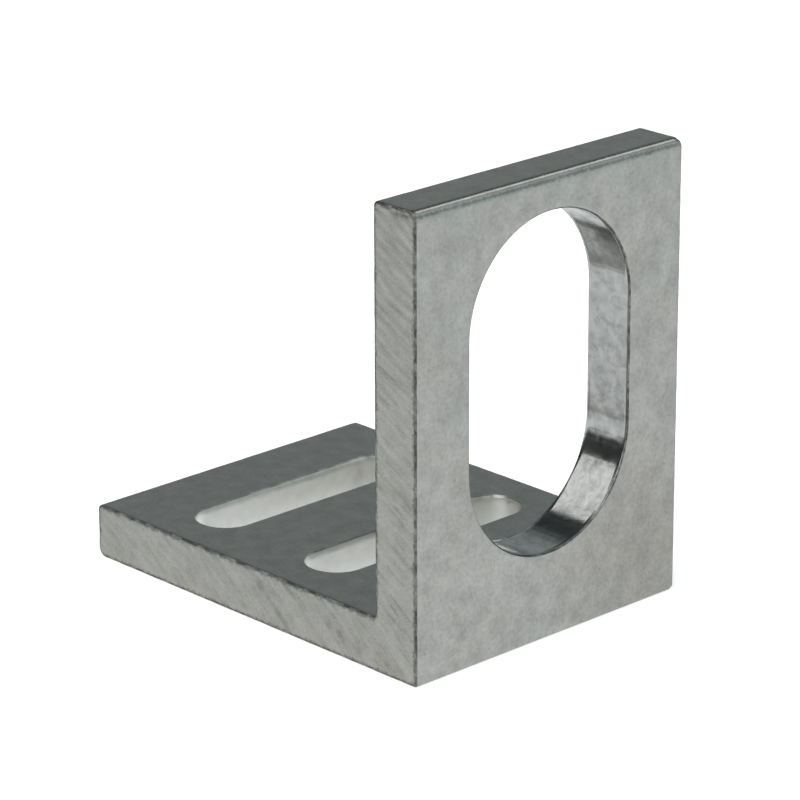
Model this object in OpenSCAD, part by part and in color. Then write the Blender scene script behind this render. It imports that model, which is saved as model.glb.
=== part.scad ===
// Sensor angle bracket.
// A short length sawn from an extruded aluminium angle. The upright has one wide slot,
// which takes the threaded barrel of a sensor and lets it slide up and down. The foot has
// two narrow slots for fixing screws, which let the bracket slide along its width.
// X runs along the foot, Y along the width and Z up. The origin is at the middle of the
// underside, and the upright's outer face looks along +X.

/* [Angle section] */
// Depth of the foot, from the upright's outer face to the toe
foot_depth = 40; // [36:0.5:80]
// Height of the upright, from the underside to the tip
upright_height = 40; // [32:0.5:80]
// Wall thickness of both legs
wall = 4.8; // [3:0.1:7]
// Width sawn off the extrusion
width = 30.4; // [24:0.1:60]

/* [Corners of the section] */
// Radius on the outer corner of each leg's tip
tip_outer_r = 0.8; // [0.3:0.1:1.5]
// Radius on the inner corner of each leg's tip
tip_inner_r = 0.5; // [0.3:0.1:1.5]
// Radius on the heel, where the two outer faces meet
heel_r = 0.3; // [0.3:0.1:3]
// Radius of the fillet between the two inner faces
root_r = 0.4; // [0.2:0.1:2]

/* [Sensor slot in the upright] */
// Outer diameter of the sensor's threaded barrel
barrel_d = 18; // [8:0.5:20]
// Clearance of the barrel across the slot
barrel_clearance = 0.3; // [0.1:0.1:1]
// Wall left between the slot and the upright's tip
tip_margin = 3.05; // [1.5:0.05:6]
// Wall left between the slot and the foot's top face
root_margin = 2.85; // [0.5:0.05:6]

/* [Screw slots in the foot] */
// Diameter of the fixing screws
screw_d = 5; // [3:0.5:8]
// Clearance of a screw across its slot
screw_clearance = 0.3; // [0.1:0.1:1]
// Wall left between each end of a slot and the sawn end beside it
end_margin = 3.55; // [1.5:0.05:6]
// Distance from the upright's outer face to the middle of the nearer slot
near_slot_offset = 16; // [13:0.5:20]
// Distance between the middles of the two slots
slot_pitch = 14; // [10:0.5:16]

/* [Broken edges] */
// Bevel round both sawn ends, left by the tumbling
end_break = 0.2; // [0.05:0.05:0.3]
// Bevel round both mouths of every slot
slot_break = 0.12; // [0.04:0.02:0.4]

/* [Hidden] */
$fn = 96;
// Cuts run this far past the faces that they open
over = 1;

// Faces of the section
outer_x = foot_depth / 2;
inner_x = outer_x - wall;
toe_x = outer_x - foot_depth;

// Slots
barrel_slot_w = barrel_d + barrel_clearance;
barrel_slot_length = upright_height - wall - root_margin - tip_margin;
barrel_slot_z = wall + root_margin + barrel_slot_length / 2;
screw_slot_w = screw_d + screw_clearance;
screw_slot_length = width - 2 * end_margin;

// Outward corners of the section: place, radius, and the angle at which the round starts
CORNERS = [
    [[outer_x, 0], heel_r, -90],
    [[outer_x, upright_height], tip_outer_r, 0],
    [[inner_x, upright_height], tip_inner_r, 90],
    [[toe_x, wall], tip_inner_r, 90],
    [[toe_x, 0], tip_outer_r, 180]
];

// Straight sides of the section, anticlockwise: start, heading and length
SIDES = [
    [[toe_x + tip_outer_r, 0], 0, foot_depth - tip_outer_r - heel_r],
    [[outer_x, heel_r], 90, upright_height - heel_r - tip_outer_r],
    [[outer_x - tip_outer_r, upright_height], 180, wall - tip_outer_r - tip_inner_r],
    [[inner_x, upright_height - tip_inner_r], 270, upright_height - tip_inner_r - wall - root_r],
    [[inner_x - root_r, wall], 180, foot_depth - wall - root_r - tip_inner_r],
    [[toe_x, wall - tip_inner_r], 270, wall - tip_inner_r - tip_outer_r]
];

// Places a child that is drawn for the corner between 0 and 90 degrees at a corner
module at_corner(corner) {
    translate(corner[0])
        rotate(corner[2])
            translate([-corner[1], -corner[1]])
                children();
}

// What a round takes off a square corner, drawn about the round's own centre
module corner_waste(r) {
    difference() {
        square(r + over);
        circle(r);
    }
}

// Cross-section of the extrusion: X along the foot, Y up the upright
module angle_section() {
    difference() {
        union() {
            translate([toe_x, 0])
                square([foot_depth, wall]);
            translate([inner_x, 0])
                square([wall, upright_height]);
            translate([inner_x - root_r, wall])
                difference() {
                    square(root_r);
                    translate([0, root_r])
                        circle(root_r);
                }
        }
        for (corner = CORNERS)
            at_corner(corner)
                corner_waste(corner[1]);
    }
}

// Bevel on one straight side of the upper sawn end
module side_break(side) {
    translate(concat(side[0], width / 2))
        rotate([90, 0, side[1] + 90])
            linear_extrude(side[2])
                polygon([[end_break, 0], [end_break, over], [-over, over], [-over, -end_break - over]]);
}

// Bevel on a quarter round of the upper sawn end
module round_break(r) {
    rotate_extrude(angle = 90)
        polygon([[r - end_break, 0], [r - end_break, over], [r + over, over], [r + over, -end_break - over]]);
}

// Bevel on the fillet of the upper sawn end
module fillet_break() {
    rotate_extrude(angle = 90)
        polygon([[0, -end_break - root_r], [root_r + end_break, 0], [root_r + end_break, over], [0, over]]);
}

// All that the bevel takes off the upper sawn end
module end_waste() {
    for (side = SIDES)
        side_break(side);
    for (corner = CORNERS)
        translate([0, 0, width / 2])
            at_corner(corner)
                round_break(corner[1]);
    translate([inner_x - root_r, wall + root_r, width / 2])
        rotate(-90)
            fillet_break();
}

// Sawn length of the extrusion with both ends deburred, lying along Y
module sawn_angle() {
    rotate([90, 0, 0])
        difference() {
            linear_extrude(width, center = true)
                angle_section();
            end_waste();
            mirror([0, 0, 1])
                end_waste();
        }
}

// Bevel of a slot's mouth at z = 0, widening upwards
module slot_mouth(w, reach) {
    mouth_r = w / 2 + slot_break + over;
    for (side = [-1, 1])
        translate([side * reach, 0, -slot_break])
            cylinder(h = slot_break + over, r1 = w / 2, r2 = mouth_r);
    translate([-reach, 0, 0])
        rotate([90, 0, 90])
            linear_extrude(2 * reach)
                polygon([[-w / 2, -slot_break], [w / 2, -slot_break], [mouth_r, over], [-mouth_r, over]]);
}

// Round-ended slot along X, through a wall that lies below z = 0
module slot(w, length) {
    reach = (length - w) / 2;
    for (side = [-1, 1])
        translate([side * reach, 0, -wall - over])
            cylinder(h = wall + 2 * over, r = w / 2);
    translate([-reach, -w / 2, -wall - over])
        cube([2 * reach, w, wall + 2 * over]);
    slot_mouth(w, reach);
    translate([0, 0, -wall])
        mirror([0, 0, 1])
            slot_mouth(w, reach);
}

// The bracket: the sawn angle with the barrel's slot and the two screw slots
module angle_bracket() {
    color([0.64, 0.65, 0.64])
        difference() {
            sawn_angle();
            translate([outer_x, 0, barrel_slot_z])
                rotate([0, 90, 0])
                    slot(barrel_slot_w, barrel_slot_length);
            for (row = [0, 1])
                translate([outer_x - near_slot_offset - row * slot_pitch, 0, wall])
                    rotate(90)
                        slot(screw_slot_w, screw_slot_length);
        }
}

angle_bracket();
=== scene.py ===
# Sensor angle bracket: a short length sawn from an extruded aluminium angle, milled with one
# wide slot in the upright and two narrow slots in the foot, then tumbled in stones.
import math

import bmesh
import bpy
from mathutils import Matrix, Vector
from mathutils.kdtree import KDTree


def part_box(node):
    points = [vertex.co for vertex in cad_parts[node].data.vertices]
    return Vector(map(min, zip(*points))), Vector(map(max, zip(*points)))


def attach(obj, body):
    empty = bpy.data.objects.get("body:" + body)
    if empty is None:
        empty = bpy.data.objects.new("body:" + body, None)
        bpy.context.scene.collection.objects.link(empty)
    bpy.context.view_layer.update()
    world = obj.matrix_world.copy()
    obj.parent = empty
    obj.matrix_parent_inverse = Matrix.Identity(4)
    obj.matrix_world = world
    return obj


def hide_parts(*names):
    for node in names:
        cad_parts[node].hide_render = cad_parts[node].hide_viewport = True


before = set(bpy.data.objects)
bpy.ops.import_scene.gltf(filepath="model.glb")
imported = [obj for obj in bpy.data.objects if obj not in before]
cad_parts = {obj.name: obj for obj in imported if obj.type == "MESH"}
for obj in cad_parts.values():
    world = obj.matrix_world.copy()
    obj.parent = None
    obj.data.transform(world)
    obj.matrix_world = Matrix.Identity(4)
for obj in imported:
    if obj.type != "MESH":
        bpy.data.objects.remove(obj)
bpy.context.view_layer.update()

MM = 0.001

# Sizes of the bracket. The outline comes from the frame, and the rest are the real sizes.
LOW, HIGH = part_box("angle_bracket")
TOE_X, OUTER_X = LOW[0], HIGH[0]
END_Y = HIGH[1]
TOP_Z = HIGH[2]
WALL = 4.8 * MM
INNER_X = OUTER_X - WALL

TIP_OUTER_R = 0.8 * MM
TIP_INNER_R = 0.5 * MM
HEEL_R = 0.3 * MM
ROOT_R = 0.4 * MM

SENSOR_SLOT_W = 18.3 * MM
SENSOR_SLOT_LENGTH = 29.3 * MM
SENSOR_SLOT = (INNER_X + WALL / 2, 0, 22.3 * MM)
SCREW_SLOT_W = 5.3 * MM
SCREW_SLOT_LENGTH = 23.3 * MM
SCREW_SLOT_OFFSETS = (16 * MM, 30 * MM)

END_BREAK = 0.2 * MM
SLOT_BREAK = 0.12 * MM
# The far end's upper and lower edges, whose corners show rounder than the near ones
FAR_EDGE_R = 0.5 * MM

# Two points this near are in one place, and a normal with this share along an axis is straight
HAIR = 0.001 * MM
STRAIGHT = 0.99

# Mesh: the step of the planes that cut every face, how often the edges between them are then
# divided on smooth and on rough faces, the sides of a mill, and the widest turn that looks smooth
GRID = 0.8 * MM
SMOOTH_CUTS = 1
ROUGH_CUTS = 3
MILL_SIDES = 96
SMOOTH_TURN = math.radians(50)

# Relief of the saw, as arcs about its arbor that cross the section at one slope
SAW_SLOPE = math.radians(-33)
BLADE_R = 150 * MM
TOOTH_PITCH = 1.0 * MM
SAW_DEPTH = 0.035 * MM
# The ring texture has this many rings to a unit
RINGS = 20 / (2 * math.pi)

# The strokes that the eye sees run level in STROKE_LEAN * x + (STROKE_RISE + STROKE_BOW * z) * z
STROKE_LEAN = 0.8
STROKE_RISE = 0.83
STROKE_BOW = 20.0

# Relief of the tumbling
DENT_DEPTH = 0.02 * MM
NICK_DEPTH = 0.07 * MM
CHIP_DEPTH = 0.14 * MM

# Wear at the knocked edges, and the part of the tip's outer corner that belongs to them, in
# degrees up from the upright's face. On that part the knocks' darkening is also a painted dark
# reflection: the band below the corner's line of light
WEAR_AND_SHADE = "wear"
WEAR_REACH = 0.35 * MM
TIP_WEAR = (15, 30)

# Darker, warmer patch towards the far lower corner of the upright's face: its middle, and how far it stays
# full and reaches at all
DARK_PATCH = (OUTER_X, 11 * MM, 5 * MM)
DARK_PATCH_FULL = 1 * MM
DARK_PATCH_REACH = 11 * MM

# Numbers of the finishes on the mesh
SKIN, SAWN, MILLED, CHATTERED, BURR = range(5)

# The photo's viewing angle, found from its straight edges, with a lens for this width of film
AIM = Vector((6.76, -4.31, 18.56)) * MM
AZIMUTH, ELEVATION, ROLL = (math.radians(angle) for angle in (46.568, 19.719, -0.188))
DISTANCE = 331.4 * MM
LENS = 180.04
FILM_W = 36

# Floor: just wider than any view, and how bright its paper glows to the eye and in the metal
FLOOR_R = 320 * MM
FLOOR_SIDES = 96
PAPER_GLOW = 0.5
MIRRORED_GLOW = 0.27

# Room in the metal: its tint, its light on the left and on the right, and the pale patch on its
# wall, by the way there and the light that it adds
ROOM_TINT = (0.88, 0.99, 1.0)
LEFT_LEVEL = 0.06
RIGHT_LEVEL = 0.8
PATCH = (-0.69, 0.63, 0.35)
PATCH_LEVEL = 0.35


# Colours and nodes


def srgb(hex_colour):
    """Linear colour of an sRGB hex value such as #C8C8C4."""
    parts = [int(hex_colour[i : i + 2], 16) / 255 for i in (1, 3, 5)]
    linear = [c / 12.92 if c <= 0.04045 else ((c + 0.055) / 1.055) ** 2.4 for c in parts]
    return (*linear, 1.0)


def add_node(tree, kind, links=None, values=None, **settings):
    """Adds a shader node to a tree. Links and values go by the name or the number of an input.

    Inputs 1 to 4 of a map range are the low and high ends that it maps from, then those that
    it maps to.
    """
    node = tree.nodes.new("ShaderNode" + kind)
    for name, value in settings.items():
        setattr(node, name, value)
    for name, value in (values or {}).items():
        node.inputs[name].default_value = value
    for name, source in (links or {}).items():
        tree.links.new(source, node.inputs[name])
    return node


def new_material(name):
    """A material with an empty node tree."""
    material = bpy.data.materials.new(name)
    material.use_nodes = True
    material.node_tree.nodes.clear()
    return material


def finish_metal(material, tones, blend, shades, roughness, height, relief):
    """Closes a material with bare metal.

    The colour blends two tones, and each shade then scales it. The relief is the depth of the
    grain that the height draws.
    """
    tree = material.node_tree
    first, second = (srgb(tone) for tone in tones)
    colour = add_node(tree, "Mix", {0: blend}, {6: first, 7: second}, data_type="RGBA").outputs[2]
    for shade in shades:
        scaled = add_node(tree, "VectorMath", {0: colour, "Scale": shade}, operation="SCALE")
        colour = scaled.outputs[0]
    bump = add_node(tree, "Bump", {"Height": height}, {"Strength": 1.0, "Distance": relief})
    metal = add_node(
        tree,
        "BsdfPrincipled",
        {"Base Color": colour, "Roughness": roughness, "Normal": bump.outputs[0]},
        {"Metallic": 1.0},
    )
    add_node(tree, "OutputMaterial", {"Surface": metal.outputs[0]})
    return material


def knocks(tree, place):
    """Shade of the small dark knocks that crowd towards the worn edges.

    On the strip of the tip's outer corner this darkening is also a painted dark reflection: the
    band below the corner's line of light.
    """
    near = add_node(tree, "Attribute", attribute_name=WEAR_AND_SHADE)
    crumb = add_node(tree, "TexNoise", {"Vector": place}, {"Scale": 1 / (0.3 * MM), "Detail": 4.0})
    crowd = add_node(
        tree, "Math", {0: near.outputs["Fac"], 2: crumb.outputs["Fac"]}, {1: 0.45}, operation="MULTIPLY_ADD"
    )
    # Real wear at the sawn ends' outline, and also a painted dark reflection on the tip's corner strip
    shade = add_node(tree, "MapRange", {0: crowd.outputs[0]}, {1: 0.68, 2: 0.92, 3: 1.0, 4: 0.55})
    return shade.outputs[0]


def tumbled_skin():
    """Aluminium 6060, extruded, then tumbled in ceramic stones with soap.

    The eye sees a silky mid grey with the stones' fine grain, blotches about a millimetre wide,
    broad clouds that lean a little green or warm, and a few small dark pits. The face is drawn
    darker and warmer towards its far lower corner. The rounded corners of the section are
    the most burnished, so each carries a narrow line of light.
    """
    material = new_material("tumbled_extruded_aluminium")
    tree = material.node_tree
    coordinates = add_node(tree, "TexCoord").outputs
    place = coordinates["Object"]
    cloud = add_node(tree, "TexNoise", {"Vector": place}, {"Scale": 1 / (4 * MM), "Detail": 3.0})
    blotch = add_node(tree, "TexNoise", {"Vector": place}, {"Scale": 1 / (1.6 * MM), "Detail": 5.0})
    # The real grain is about 0.05 mm, which is too fine to show, so it is drawn six times as coarse
    grain = add_node(tree, "TexNoise", {"Vector": place}, {"Scale": 1 / (0.3 * MM), "Detail": 3.0})
    pits = add_node(tree, "TexVoronoi", {"Vector": place}, {"Scale": 1 / (1.3 * MM)})
    blotched = add_node(tree, "MapRange", {0: blotch.outputs["Fac"]}, {1: 0.3, 2: 0.7, 3: 0.87, 4: 1.11})
    grained = add_node(tree, "MapRange", {0: grain.outputs["Fac"]}, {1: 0.25, 2: 0.75, 3: 0.87, 4: 1.13})
    pitted = add_node(tree, "MapRange", {0: pits.outputs["Distance"]}, {1: 0.04, 2: 0.09, 3: 0.72, 4: 1.0})
    # Darker and warmer towards the face's far lower corner
    away = add_node(tree, "VectorMath", {0: place}, {1: DARK_PATCH}, operation="DISTANCE").outputs["Value"]
    warm_shift = add_node(tree, "MapRange", {0: away}, {1: DARK_PATCH_FULL, 2: DARK_PATCH_REACH, 3: 0.5, 4: 0.0})
    patch_darkened = add_node(tree, "MapRange", {0: away}, {1: DARK_PATCH_FULL, 2: DARK_PATCH_REACH, 3: 0.82, 4: 1.0})
    warmth = add_node(tree, "Math", {0: cloud.outputs["Fac"], 1: warm_shift.outputs[0]}, operation="ADD")
    facing = add_node(tree, "SeparateXYZ", {0: coordinates["Normal"]}).outputs
    slant = add_node(tree, "Math", {0: facing["X"], 1: facing["Z"]}, operation="MULTIPLY")
    corner = add_node(tree, "Math", {0: slant.outputs[0]}, operation="ABSOLUTE")
    rough = add_node(tree, "MapRange", {0: corner.outputs[0]}, {1: 0.0, 2: 0.4, 3: 0.4, 4: 0.27})
    return finish_metal(
        material,
        ("#A5A7A5", "#AFACA7"),
        warmth.outputs[0],
        (
            blotched.outputs[0],
            grained.outputs[0],
            pitted.outputs[0],
            patch_darkened.outputs[0],
            knocks(tree, place),
        ),
        rough.outputs[0],
        grain.outputs["Fac"],
        0.012 * MM,
    )


def sawn_end():
    """The same aluminium across the cut of a circular saw, dulled by the tumbling.

    The eye sees a warmer, flatter grey, crossed by thin dark strokes that the teeth swept down
    towards the heel, steeper as they go and deepest near it.
    """
    material = new_material("sawn_aluminium")
    tree = material.node_tree
    place = add_node(tree, "TexCoord").outputs["Object"]
    axes = add_node(tree, "SeparateXYZ", {0: place}).outputs
    lean = add_node(tree, "Math", {0: axes["X"]}, {1: STROKE_LEAN}, operation="MULTIPLY")
    bow = add_node(tree, "Math", {0: axes["Z"]}, {1: STROKE_BOW, 2: STROKE_RISE}, operation="MULTIPLY_ADD")
    across = add_node(
        tree, "Math", {0: axes["Z"], 1: bow.outputs[0], 2: lean.outputs[0]}, operation="MULTIPLY_ADD"
    )
    sweep = add_node(tree, "CombineXYZ", {0: across.outputs[0], 1: axes["X"], 2: axes["Y"]})
    drawn_out = add_node(tree, "Mapping", {0: sweep.outputs[0]}, {"Scale": (1, 0.16, 1)})
    stroke = add_node(
        tree,
        "TexNoise",
        {"Vector": drawn_out.outputs[0]},
        {"Scale": 1 / (0.75 * MM), "Detail": 3.0, "Distortion": 0.8},
    )
    band = add_node(tree, "TexNoise", {"Vector": drawn_out.outputs[0]}, {"Scale": 1 / (1.3 * MM)})
    grain = add_node(tree, "TexNoise", {"Vector": place}, {"Scale": 1 / (0.2 * MM), "Detail": 3.0})
    blotch = add_node(tree, "TexNoise", {"Vector": place}, {"Scale": 1 / (1.4 * MM), "Detail": 4.0})

    # A stroke is dark where the noise is low, the blotches leave it clear and the heel is near
    section = add_node(tree, "CombineXYZ", {0: axes["X"], 2: axes["Z"]})
    away = add_node(tree, "VectorMath", {0: section.outputs[0]}, {1: (OUTER_X, 0, 0)}, operation="DISTANCE")
    bite = add_node(tree, "MapRange", {0: away.outputs["Value"]}, {1: 4 * MM, 2: 36 * MM, 3: 1.0, 4: 0.3})
    deep = add_node(tree, "MapRange", {0: stroke.outputs["Fac"]}, {1: 0.52, 2: 0.32, 3: 0.0, 4: 1.0})
    clear = add_node(tree, "MapRange", {0: blotch.outputs["Fac"]}, {1: 0.56, 2: 0.4, 3: 0.06, 4: 0.3})
    bitten = add_node(tree, "Math", {0: deep.outputs[0], 1: bite.outputs[0]}, operation="MULTIPLY")
    dark = add_node(tree, "Math", {0: bitten.outputs[0], 1: clear.outputs[0]}, operation="MULTIPLY")

    stroked = add_node(tree, "Math", {1: dark.outputs[0]}, {0: 1.0}, operation="SUBTRACT")
    banded = add_node(tree, "MapRange", {0: band.outputs["Fac"]}, {1: 0.3, 2: 0.7, 3: 0.95, 4: 1.05})
    blotched = add_node(tree, "MapRange", {0: blotch.outputs["Fac"]}, {1: 0.3, 2: 0.7, 3: 0.93, 4: 1.05})
    grained = add_node(tree, "MapRange", {0: grain.outputs["Fac"]}, {1: 0.25, 2: 0.75, 3: 0.87, 4: 1.13})
    rough = add_node(tree, "MapRange", {0: stroke.outputs["Fac"]}, {1: 0.3, 2: 0.7, 3: 0.52, 4: 0.42})
    return finish_metal(
        material,
        ("#A5A59D", "#A7A6A4"),
        blotch.outputs["Fac"],
        (
            stroked.outputs[0],
            banded.outputs[0],
            blotched.outputs[0],
            grained.outputs[0],
            knocks(tree, place),
        ),
        rough.outputs[0],
        stroke.outputs["Fac"],
        0.02 * MM,
    )


def milled_wall():
    """The same aluminium where a wide end mill cut the upright's slot.

    The eye sees a wall that mirrors the room in soft bands, with small dark scuffs. It is drawn
    a little darker on its two straight sides.
    """
    material = new_material("milled_aluminium")
    tree = material.node_tree
    place = add_node(tree, "TexCoord").outputs["Object"]
    scuff = add_node(tree, "TexNoise", {"Vector": place}, {"Scale": 1 / (0.9 * MM), "Detail": 6.0})
    patch = add_node(
        tree, "TexNoise", {"Vector": place}, {"Scale": 1 / (1.1 * MM), "Detail": 7.0, "Distortion": 1.5}
    )
    scuffed = add_node(tree, "MapRange", {0: scuff.outputs["Fac"]}, {1: 0.35, 2: 0.6, 3: 0.88, 4: 1.04})
    patched = add_node(tree, "MapRange", {0: patch.outputs["Fac"]}, {1: 0.36, 2: 0.52, 3: 0.8, 4: 1.0})
    # A little darker on the two straight sides, near the slot's middle
    away = add_node(
        tree, "VectorMath", {0: place}, {1: SENSOR_SLOT}, operation="DISTANCE"
    ).outputs["Value"]
    straight_sides_darker = add_node(tree, "MapRange", {0: away}, {1: 9.3 * MM, 2: 12 * MM, 3: 0.93, 4: 1.0})
    rough = add_node(tree, "MapRange", {0: scuff.outputs["Fac"]}, {1: 0.3, 2: 0.7, 3: 0.22, 4: 0.1})
    return finish_metal(
        material,
        ("#A7A9A8", "#B3B3B0"),
        scuff.outputs["Fac"],
        (scuffed.outputs[0], patched.outputs[0], straight_sides_darker.outputs[0]),
        rough.outputs[0],
        scuff.outputs["Fac"],
        0.01 * MM,
    )


def chattered_wall():
    """The same aluminium where a slim end mill cut the foot's slots.

    The eye sees a pale, matt wall, since the thin cutter chattered and left it finely pebbled.
    Painted shade: the wall is drawn darker and a little warmer towards the slots' far ends, where the
    upright shades it.
    """
    material = new_material("chattered_aluminium")
    tree = material.node_tree
    place = add_node(tree, "TexCoord").outputs["Object"]
    scuff = add_node(tree, "TexNoise", {"Vector": place}, {"Scale": 1 / (0.9 * MM), "Detail": 3.0})
    scuffed = add_node(tree, "MapRange", {0: scuff.outputs["Fac"]}, {1: 0.3, 2: 0.7, 3: 0.95, 4: 1.04})
    along = add_node(tree, "SeparateXYZ", {0: place}).outputs["Y"]
    reach = SCREW_SLOT_LENGTH / 2
    # Painted shade: the blend runs to the darker, warmer tone towards the slots' far ends
    warm_shift = add_node(tree, "MapRange", {0: along}, {1: -reach, 2: reach})
    rough = add_node(tree, "MapRange", {0: scuff.outputs["Fac"]}, {1: 0.3, 2: 0.7, 3: 0.3, 4: 0.36})
    return finish_metal(
        material,
        # The second tone is the painted shade at the slots' far ends
        ("#F8F9F7", "#DBDBD7"),
        warm_shift.outputs[0],
        (scuffed.outputs[0],),
        rough.outputs[0],
        scuff.outputs["Fac"],
        0.01 * MM,
    )


def rolled_burr():
    """Burrs of the saw and the mill, rolled over by the stones.

    The eye sees a thin, crumbly dark line with a few bright specks. Its dark tones are a painted
    reflection of the dark room that these narrow rounds mirror. The crumbs and specks are their
    real roughness.
    """
    material = new_material("rolled_aluminium_burr_painted_dark")
    tree = material.node_tree
    place = add_node(tree, "TexCoord").outputs["Object"]
    crumb = add_node(tree, "TexNoise", {"Vector": place}, {"Scale": 1 / (0.7 * MM), "Detail": 4.0})
    blend = add_node(tree, "MapRange", {0: crumb.outputs["Fac"]}, {1: 0.4, 2: 0.65})
    crumbly = add_node(tree, "MapRange", {0: crumb.outputs["Fac"]}, {1: 0.3, 2: 0.7, 3: 0.8, 4: 1.1})
    rough = add_node(tree, "MapRange", {0: crumb.outputs["Fac"]}, {1: 0.3, 2: 0.7, 3: 0.5, 4: 0.35})
    return finish_metal(
        material,
        # Dark tones: painted reflection of the dark room in the rolled edges
        ("#575855", "#83847F"),
        blend.outputs[0],
        (crumbly.outputs[0],),
        rough.outputs[0],
        crumb.outputs["Fac"],
        0.03 * MM,
    )


# Modelling


def start_on(piece):
    """Makes a piece the only selected object and the active one."""
    bpy.ops.object.select_all(action="DESELECT")
    piece.select_set(True)
    bpy.context.view_layer.objects.active = piece


def pick(piece, kind, wanted):
    """Selects, in edit mode, the vertices, edges or faces that pass a test, and nothing else."""
    bpy.ops.mesh.select_mode(type={"verts": "VERT", "edges": "EDGE", "faces": "FACE"}[kind])
    bpy.ops.mesh.select_all(action="DESELECT")
    mesh = bmesh.from_edit_mesh(piece.data)
    for item in getattr(mesh, kind):
        if wanted(item):
            item.select_set(True)
    bmesh.update_edit_mesh(piece.data)


def lies_along(edge, x, z):
    """Test for an edge that runs the whole width at one corner of the section."""
    return all(abs(v.co.x - x) < HAIR and abs(v.co.z - z) < HAIR for v in edge.verts)


def extrude_angle():
    """The length of angle: foot, upright and the rounded corners of the extrusion."""
    middle = ((TOE_X + OUTER_X) / 2, 0, WALL / 2)
    bpy.ops.mesh.primitive_cube_add(size=1, location=middle, scale=(OUTER_X - TOE_X, 2 * END_Y, WALL))
    angle = bpy.context.object
    angle.name = "bracket_body"
    bpy.ops.object.transform_apply(location=True, rotation=False, scale=True)
    bpy.ops.object.mode_set(mode="EDIT")
    bpy.ops.mesh.select_all(action="SELECT")
    bpy.ops.mesh.bisect(plane_co=(INNER_X, 0, 0), plane_no=(1, 0, 0))
    pick(angle, "faces", lambda f: f.normal.z > STRAIGHT and f.calc_center_median().x > INNER_X)
    bpy.ops.mesh.extrude_region_move(TRANSFORM_OT_translate={"value": (0, 0, TOP_Z - WALL)})
    bpy.ops.mesh.select_all(action="SELECT")
    bpy.ops.mesh.dissolve_limited(angle_limit=math.radians(1))
    corners = (
        (OUTER_X, TOP_Z, TIP_OUTER_R, 8),
        (INNER_X, TOP_Z, TIP_INNER_R, 6),
        (TOE_X, WALL, TIP_INNER_R, 6),
        (TOE_X, 0, TIP_OUTER_R, 8),
        (OUTER_X, 0, HEEL_R, 5),
        (INNER_X, WALL, ROOT_R, 5),
    )
    for x, z, radius, steps in corners:
        pick(angle, "edges", lambda e: lies_along(e, x, z))
        bpy.ops.mesh.bevel(offset=radius, segments=steps, profile=0.5, clamp_overlap=False)
    bpy.ops.object.mode_set(mode="OBJECT")
    return angle


def end_edge(edge):
    """Test for the outline of the two sawn ends."""
    return sum(abs(face.normal.y) > STRAIGHT for face in edge.link_faces) == 1


def break_ends(piece):
    """Rolls over the edges that the saw left sharp, and marks the sawn faces."""
    bpy.ops.object.mode_set(mode="EDIT")
    pick(piece, "edges", end_edge)
    bpy.ops.mesh.bevel(offset=END_BREAK, segments=3, profile=0.5, material=BURR, clamp_overlap=False)
    pick(piece, "faces", lambda f: abs(f.normal.y) > STRAIGHT)
    piece.active_material_index = SAWN
    bpy.ops.object.material_slot_assign()
    bpy.ops.object.mode_set(mode="OBJECT")


def end_mill(name, width, length, middle, turn, finishes):
    """A round-ended cutter for one slot, its long way along its own Y before it is turned.

    Both ends flare past the faces of the wall, so that they break the edges of the mouths. The
    finishes are those of the slot's wall and of its mouths.
    """
    bpy.ops.mesh.primitive_cylinder_add(vertices=MILL_SIDES, radius=width / 2, depth=WALL - 2 * SLOT_BREAK)
    cutter = bpy.context.object
    cutter.name = name
    for finish in finishes:
        cutter.data.materials.append(finish)
    # Half a step of turn leaves no corner on the line where the round ends part
    cutter.rotation_euler = (0, 0, math.pi / MILL_SIDES)
    bpy.ops.object.transform_apply(rotation=True)
    bpy.ops.object.mode_set(mode="EDIT")
    flare = 2 * SLOT_BREAK
    widen = 1 + 2 * flare / width
    for side in (-1, 1):
        pick(cutter, "faces", lambda f: f.normal.z * side > STRAIGHT)
        bpy.ops.mesh.extrude_region_move(TRANSFORM_OT_translate={"value": (0, 0, side * flare)})
        bpy.ops.transform.resize(value=(widen, widen, 1), center_override=(0, 0, 0))
    pick(cutter, "faces", lambda f: 1 - STRAIGHT < abs(f.normal.z) < STRAIGHT)
    cutter.active_material_index = 1
    bpy.ops.object.material_slot_assign()
    for side in (-1, 1):
        pick(cutter, "verts", lambda v: v.co.y * side > 0)
        bpy.ops.transform.translate(value=(0, side * (length - width) / 2, 0))
    bpy.ops.object.mode_set(mode="OBJECT")
    cutter.rotation_euler = turn
    cutter.location = middle
    bpy.ops.object.transform_apply(location=True, rotation=True)
    return cutter


def mill_slot(piece, cutter):
    """Cuts a slot, whose wall and mouths take the cutter's finishes."""
    start_on(piece)
    cut = piece.modifiers.new(cutter.name, "BOOLEAN")
    cut.operation = "DIFFERENCE"
    cut.solver = "EXACT"
    cut.material_mode = "TRANSFER"
    cut.object = cutter
    bpy.ops.object.modifier_apply(modifier=cut.name)
    bpy.data.objects.remove(cutter)


def cut_grid(piece):
    """Cuts every face by planes a grid step apart across X, Y and Z.

    The faces are then made convex and at most four-sided, since others fold when divided.
    """
    bpy.ops.object.mode_set(mode="EDIT")
    for axis in range(3):
        normal = Vector((0, 0, 0))
        normal[axis] = 1
        span = HIGH[axis] - LOW[axis]
        count = round(span / GRID)
        for step in range(1, count):
            bpy.ops.mesh.select_all(action="SELECT")
            bpy.ops.mesh.bisect(plane_co=normal * (LOW[axis] + span * step / count), plane_no=normal)
    bpy.ops.mesh.select_all(action="SELECT")
    bpy.ops.mesh.vert_connect_concave()
    pick(piece, "faces", lambda f: len(f.verts) > 4)
    bpy.ops.mesh.quads_convert_to_tris(quad_method="BEAUTY", ngon_method="BEAUTY")
    bpy.ops.object.mode_set(mode="OBJECT")


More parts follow.
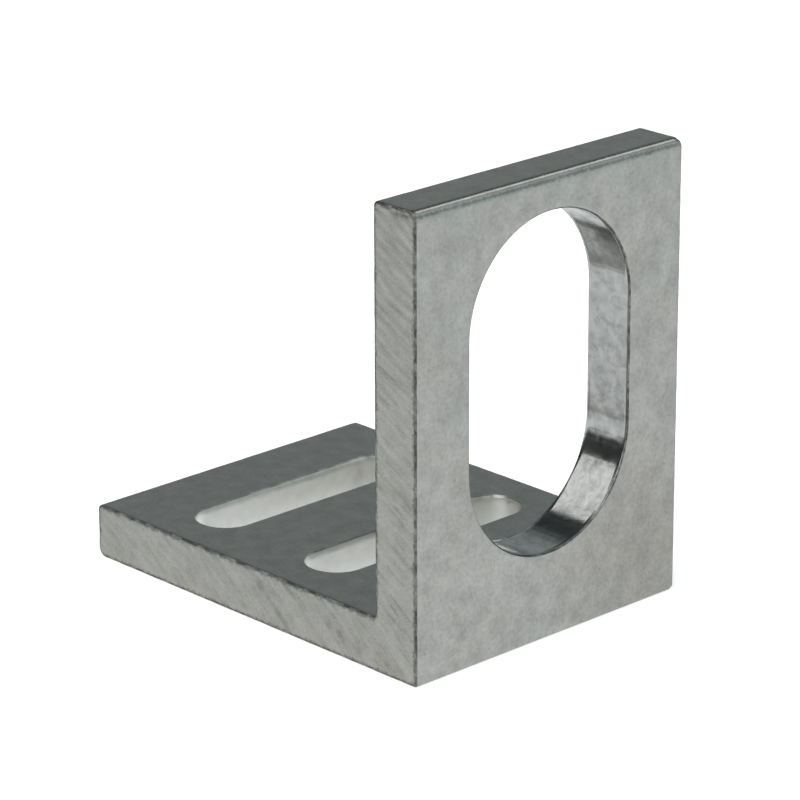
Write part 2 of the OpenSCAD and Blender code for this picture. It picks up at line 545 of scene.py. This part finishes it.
def refine(piece, wanted, cuts):
    """Divides the edges whose finishes pass a test, apart from those that cross a rolled edge."""
    bpy.ops.object.mode_set(mode="EDIT")
    pick(
        piece,
        "edges",
        lambda e: wanted({f.material_index for f in e.link_faces}) and e.calc_length() > END_BREAK,
    )
    bpy.ops.mesh.subdivide(number_cuts=cuts)
    bpy.ops.object.mode_set(mode="OBJECT")


def round_far_edges(piece):
    """Draws the points near the far end's upper and lower edges onto a round."""
    for point in piece.data.vertices:
        side = math.copysign(1, point.co.z - TOP_Z / 2)
        past_y = point.co.y - (END_Y - FAR_EDGE_R)
        past_z = side * (point.co.z - TOP_Z / 2) - (TOP_Z / 2 - FAR_EDGE_R)
        if min(past_y, past_z) > 0:
            cut = 1 - max(past_y, past_z) / math.hypot(past_y, past_z)
            point.co.y -= cut * past_y
            point.co.z -= cut * past_z * side


def points_of(piece, finish):
    """Numbers of the points that touch a finish."""
    return {v for face in piece.data.polygons if face.material_index == finish for v in face.vertices}


def group_of(piece, name, points):
    """A vertex group of some points."""
    piece.vertex_groups.new(name=name).add(list(points), 1.0, "REPLACE")
    return name


def wear_edges(piece):
    """Writes how near each point lies to an edge that the stones knock: 1 on it and 0 out of reach.

    These edges are the outline of both sawn ends and a strip of the tip's outer corner. On that
    strip, the darkening drawn from these values is also a painted dark reflection.
    The values go to an attribute and to a vertex group, whose name is returned.
    """
    mesh = piece.data
    low, high = (TOP_Z - TIP_OUTER_R * (1 - math.sin(math.radians(angle))) for angle in TIP_WEAR)
    tip = {v.index for v in mesh.vertices if v.co.x > INNER_X + WALL / 2 and low < v.co.z < high}
    knocked = (points_of(piece, SAWN) & points_of(piece, BURR)) | tip
    edges = KDTree(len(knocked))
    for number in knocked:
        edges.insert(mesh.vertices[number].co, number)
    edges.balance()
    near = [max(0, 1 - edges.find(vertex.co)[2] / WEAR_REACH) for vertex in mesh.vertices]
    group = piece.vertex_groups.new(name="knocked edges")
    for number, value in enumerate(near):
        if value > 0:
            group.add([number], value, "REPLACE")
    mesh.attributes.new(WEAR_AND_SHADE, "FLOAT", "POINT").data.foreach_set("value", near)
    return group.name


def press_in(piece, name, texture, depth, group="", centre=None):
    """Moves the surface inwards by up to a depth, as a texture says."""
    start_on(piece)
    relief = piece.modifiers.new(name, "DISPLACE")
    relief.texture = texture
    relief.mid_level = 1.0
    relief.strength = depth
    relief.vertex_group = group
    if centre:
        relief.texture_coords = "OBJECT"
        relief.texture_coords_object = centre
    bpy.ops.object.modifier_apply(modifier=relief.name)


def saw_marks(piece):
    """Shallow arcs across both sawn ends, a tooth's pitch apart, about the saw's arbor."""
    teeth = bpy.data.textures.new("teeth", "WOOD")
    teeth.wood_type = "RINGNOISE"
    teeth.noise_basis_2 = "SIN"
    # Noise of this size and strength lets the arcs wander a little, as a real blade does
    teeth.noise_scale = 1.2
    teeth.turbulence = 6.0
    arbor = bpy.data.objects.new("arbor", None)
    bpy.context.collection.objects.link(arbor)
    towards = SAW_SLOPE + math.pi / 2
    arbor.location = (-BLADE_R * math.cos(towards), 0, -BLADE_R * math.sin(towards))
    arbor.scale = [TOOTH_PITCH * RINGS] * 3
    bpy.context.view_layer.update()
    ends = group_of(piece, "ends", points_of(piece, SAWN))
    press_in(piece, "saw marks", teeth, SAW_DEPTH, ends, arbor)
    bpy.data.objects.remove(arbor)


def clouds(name, size, detail):
    """A cloudy texture. Its full white is held back so that it presses in everywhere."""
    texture = bpy.data.textures.new(name, "CLOUDS")
    texture.noise_scale = size
    texture.noise_depth = detail
    texture.intensity = 0.9
    return texture


def tumble(piece, knocked):
    """Soft dents all over, nicks along the knocked edges and chips round the foot's slots."""
    mouths = group_of(piece, "foot mouths", points_of(piece, CHATTERED) & points_of(piece, SKIN))
    press_in(piece, "dents", clouds("stones", size=1.6 * MM, detail=2), DENT_DEPTH)
    press_in(piece, "nicks", clouds("knocks", size=0.9 * MM, detail=1), NICK_DEPTH, knocked)
    press_in(piece, "chips", clouds("chatter", size=0.9 * MM, detail=1), CHIP_DEPTH, mouths)


def shade_faces(piece):
    """Smooth rounds between flat faces."""
    start_on(piece)
    bpy.ops.object.shade_smooth_by_angle(angle=SMOOTH_TURN)
    flat = piece.modifiers.new("flat faces", "WEIGHTED_NORMAL")
    flat.keep_sharp = True
    bpy.ops.object.modifier_apply(modifier=flat.name)


def make_bracket():
    """The whole bracket, made in the order of the real one."""
    # In the order of the numbers from SKIN to BURR
    finishes = (tumbled_skin(), sawn_end(), milled_wall(), chattered_wall(), rolled_burr())
    bracket = extrude_angle()
    for finish in finishes:
        bracket.data.materials.append(finish)
    break_ends(bracket)
    upright = (math.pi / 2, 0, math.pi / 2)
    bright = (finishes[MILLED], finishes[BURR])
    mill = end_mill("sensor_slot", SENSOR_SLOT_W, SENSOR_SLOT_LENGTH, SENSOR_SLOT, upright, bright)
    mill_slot(bracket, mill)
    flat = (0, 0, 0)
    pale = (finishes[CHATTERED], finishes[SKIN])
    for offset in SCREW_SLOT_OFFSETS:
        middle = (OUTER_X - offset, 0, WALL / 2)
        mill = end_mill("screw_slot", SCREW_SLOT_W, SCREW_SLOT_LENGTH, middle, flat, pale)
        mill_slot(bracket, mill)
    cut_grid(bracket)
    refine(bracket, lambda kinds: kinds <= {SKIN, MILLED, CHATTERED}, SMOOTH_CUTS)
    refine(bracket, lambda kinds: kinds & {SAWN, BURR}, ROUGH_CUTS)
    round_far_edges(bracket)
    knocked = wear_edges(bracket)
    saw_marks(bracket)
    tumble(bracket, knocked)
    shade_faces(bracket)
    return bracket


# Camera, floor and light


def place_camera():
    """A camera at the photo's viewing angle, which keeps the whole stage within its clipping."""
    flat = math.cos(ELEVATION)
    back = Vector((math.sin(AZIMUTH) * flat, -math.cos(AZIMUTH) * flat, math.sin(ELEVATION)))
    camera = bpy.data.objects.new("camera", bpy.data.cameras.new("camera"))
    bpy.context.collection.objects.link(camera)
    bpy.context.scene.camera = camera
    camera.data.lens = LENS
    camera.data.sensor_width = FILM_W
    camera.data.clip_start = DISTANCE / 20
    camera.data.clip_end = DISTANCE * 20
    camera.location = AIM + back * DISTANCE
    camera.rotation_mode = "QUATERNION"
    level = (-back).to_track_quat("-Z", "Y")
    camera.rotation_quaternion = level @ Matrix.Rotation(ROLL, 3, "Z").to_quaternion()


def paper_floor():
    """White paper. Its own faint glow, seen by the eye and in the metal, leaves the shadow soft."""
    bpy.ops.mesh.primitive_circle_add(vertices=FLOOR_SIDES, radius=FLOOR_R, fill_type="NGON")
    floor = bpy.context.object
    floor.name = "floor"
    paper = new_material("white_paper")
    tree = paper.node_tree
    ray = add_node(tree, "LightPath").outputs
    seen = add_node(tree, "Math", {0: ray["Is Camera Ray"]}, {1: PAPER_GLOW}, operation="MULTIPLY")
    mirrored = add_node(
        tree, "Math", {0: ray["Is Glossy Ray"], 1: ray["Is Transmission Ray"]}, operation="ADD"
    )
    strength = add_node(
        tree,
        "Math",
        {0: mirrored.outputs[0], 2: seen.outputs[0]},
        {1: MIRRORED_GLOW},
        operation="MULTIPLY_ADD",
    )
    glow = add_node(tree, "Emission", {"Strength": strength.outputs[0]}, {"Color": (1, 1, 1, 1)})
    sheet = add_node(tree, "BsdfDiffuse", values={"Color": srgb("#F6F6F6")})
    both = add_node(tree, "AddShader", {0: sheet.outputs[0], 1: glow.outputs[0]})
    add_node(tree, "OutputMaterial", {"Surface": both.outputs[0]})
    floor.data.materials.append(paper)


def softbox(name, towards, size, distance, watts):
    """A square lamp that hangs towards a direction from the bracket and faces it."""
    lamp = bpy.data.lights.new(name, "AREA")
    lamp.shape = "SQUARE"
    lamp.size = size
    lamp.energy = watts
    box = bpy.data.objects.new(name, lamp)
    bpy.context.collection.objects.link(box)
    direction = Vector(towards).normalized()
    box.location = Vector((0, 0, TOP_Z / 2)) + direction * distance
    box.rotation_mode = "QUATERNION"
    box.rotation_quaternion = direction.to_track_quat("Z", "Y")
    box.visible_camera = False


def studio_world():
    """White to the eye, and a grey room to the metal.

    The room is dark on the left and paler on the right, with one pale patch of wall behind the
    bracket.
    """
    world = bpy.data.worlds.new("studio")
    bpy.context.scene.world = world
    world.use_nodes = True
    tree = world.node_tree
    tree.nodes.clear()
    way = add_node(tree, "TexCoord").outputs["Generated"]
    right = add_node(tree, "SeparateXYZ", {0: way}).outputs["X"]
    side = add_node(tree, "MapRange", {0: right}, {1: -0.1, 2: 0.65, 3: LEFT_LEVEL, 4: RIGHT_LEVEL})
    towards = add_node(tree, "VectorMath", {0: way}, {1: PATCH}, operation="DOT_PRODUCT")
    near = towards.outputs["Value"]
    patch = add_node(tree, "MapRange", {0: near}, {1: 0.9, 2: 1.0, 3: 0.0, 4: PATCH_LEVEL})
    level = add_node(tree, "Math", {0: side.outputs[0], 1: patch.outputs[0]}, operation="ADD")
    shade = add_node(tree, "VectorMath", {"Scale": level.outputs[0]}, {0: ROOM_TINT}, operation="SCALE")
    eye = add_node(tree, "LightPath").outputs["Is Camera Ray"]
    room = add_node(tree, "Background", {0: shade.outputs[0]}, {1: 1.0})
    white = add_node(tree, "Background", values={0: (1, 1, 1, 1), 1: 1.0})
    seen = add_node(tree, "MixShader", {0: eye, 1: room.outputs[0], 2: white.outputs[0]})
    add_node(tree, "OutputWorld", {0: seen.outputs[0]})


body = make_bracket()
place_camera()
bpy.context.scene.view_settings.view_transform = "Standard"
paper_floor()
studio_world()
# One for the sawn ends, one for the line of light along the tip, and one for the whole table
softbox("left_softbox", (-0.684, -0.40, 0.61), size=0.37, distance=0.5, watts=0.55)
softbox("back_softbox", (0.1, 0.65, 0.75), size=0.15, distance=0.5, watts=0.11)
softbox("key_softbox", (0.30, -0.62, 0.72), size=1.1, distance=0.75, watts=4.9)

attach(body, "root")
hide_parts("angle_bracket")
